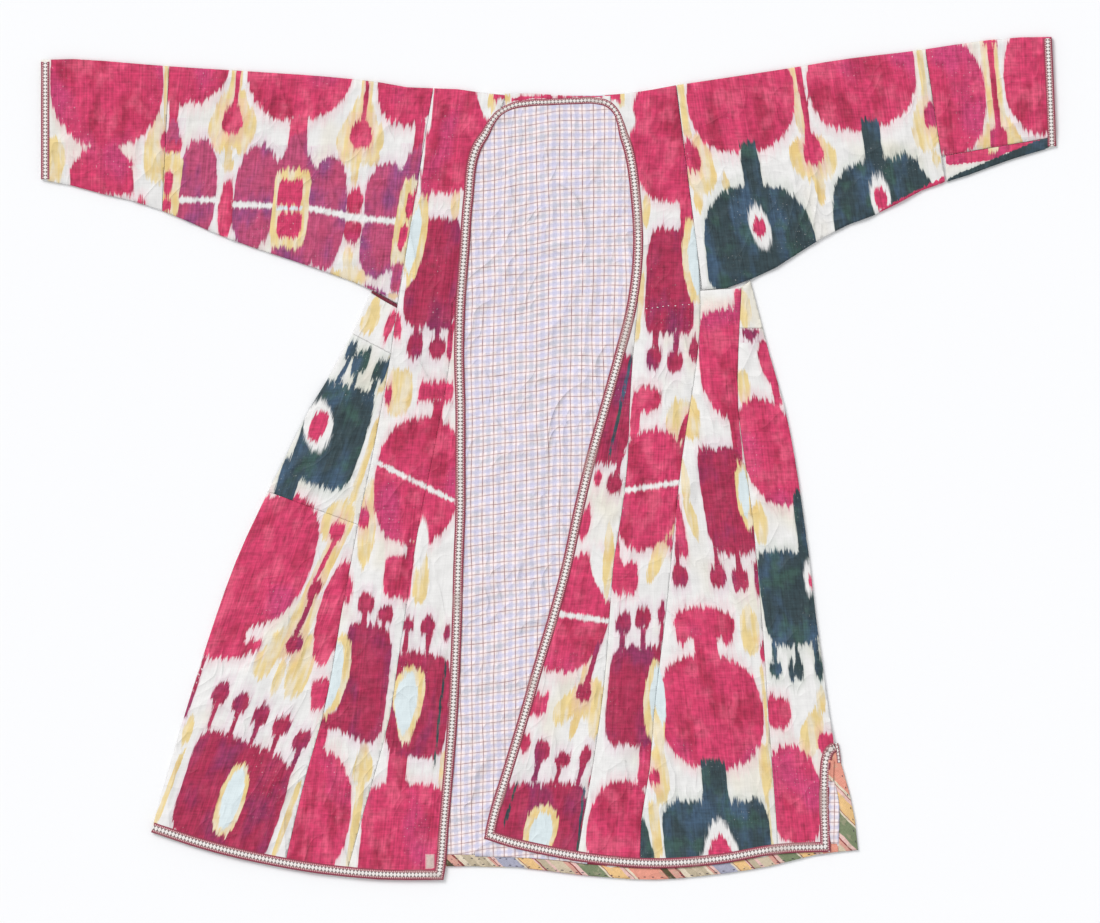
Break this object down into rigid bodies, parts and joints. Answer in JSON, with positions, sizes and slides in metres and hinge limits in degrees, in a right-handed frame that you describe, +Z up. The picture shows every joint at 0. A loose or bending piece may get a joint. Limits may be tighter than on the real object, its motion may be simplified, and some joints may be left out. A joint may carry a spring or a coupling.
{
  "type": "uzbek chapan robe",
  "caption": "Long ikat robe laid flat with its fronts open, with wide tapering sleeves, braided edges, a checked lining and a striped hem facing.",
  "frame": {"origin": "bottom centre of the whole robe as it lies, on the surface it lies on", "axes": "+X along the sleeves, +Y from the hem to the neck, +Z up out of the surface"},
  "size_m": [1.5726, 1.3072, 0.0094],
  "materials": {
    "ikat_cloth": "soft silk and cotton ikat with a faint sheen, worn",
    "checked_lining": "matt cotton, small woven check",
    "striped_facing": "matt striped cotton cut on the bias",
    "red_cloth": "matt cotton",
    "plain_patch": "matt cotton tape, blank",
    "woven_braid": "fine woven silk and cotton braid"
  },
  "bodies": {
    "root": {"back": "ikat_cloth", "back_gore_left": "ikat_cloth", "back_gore_right": "ikat_cloth", "lining_back": "checked_lining", "lining_slit": "checked_lining", "facing_hem": "striped_facing", "facing_slit": "striped_facing", "front_left": "ikat_cloth", "front_gore_left": "ikat_cloth", "side_gore_left_top": "ikat_cloth", "side_gore_left_upper": "ikat_cloth", "side_gore_left_lower": "ikat_cloth", "front_right": "ikat_cloth", "front_gore_right": "ikat_cloth", "side_gore_right_front": "ikat_cloth", "side_gore_right_top": "ikat_cloth", "side_gore_right_back": "ikat_cloth", "sleeve_left": "ikat_cloth", "sleeve_end_left": "ikat_cloth", "sleeve_right": "ikat_cloth", "sleeve_end_right": "ikat_cloth", "patch_under_right": "ikat_cloth", "gusset_left": "red_cloth", "patch_hem": "plain_patch", "braid_open_left": "woven_braid", "braid_open_right": "woven_braid", "braid_neck": "woven_braid", "braid_hem_left": "woven_braid", "braid_hem_right": "woven_braid", "braid_slit": "woven_braid", "braid_cuff_left": "woven_braid", "braid_cuff_right": "woven_braid"}
  },
  "joints": []
}
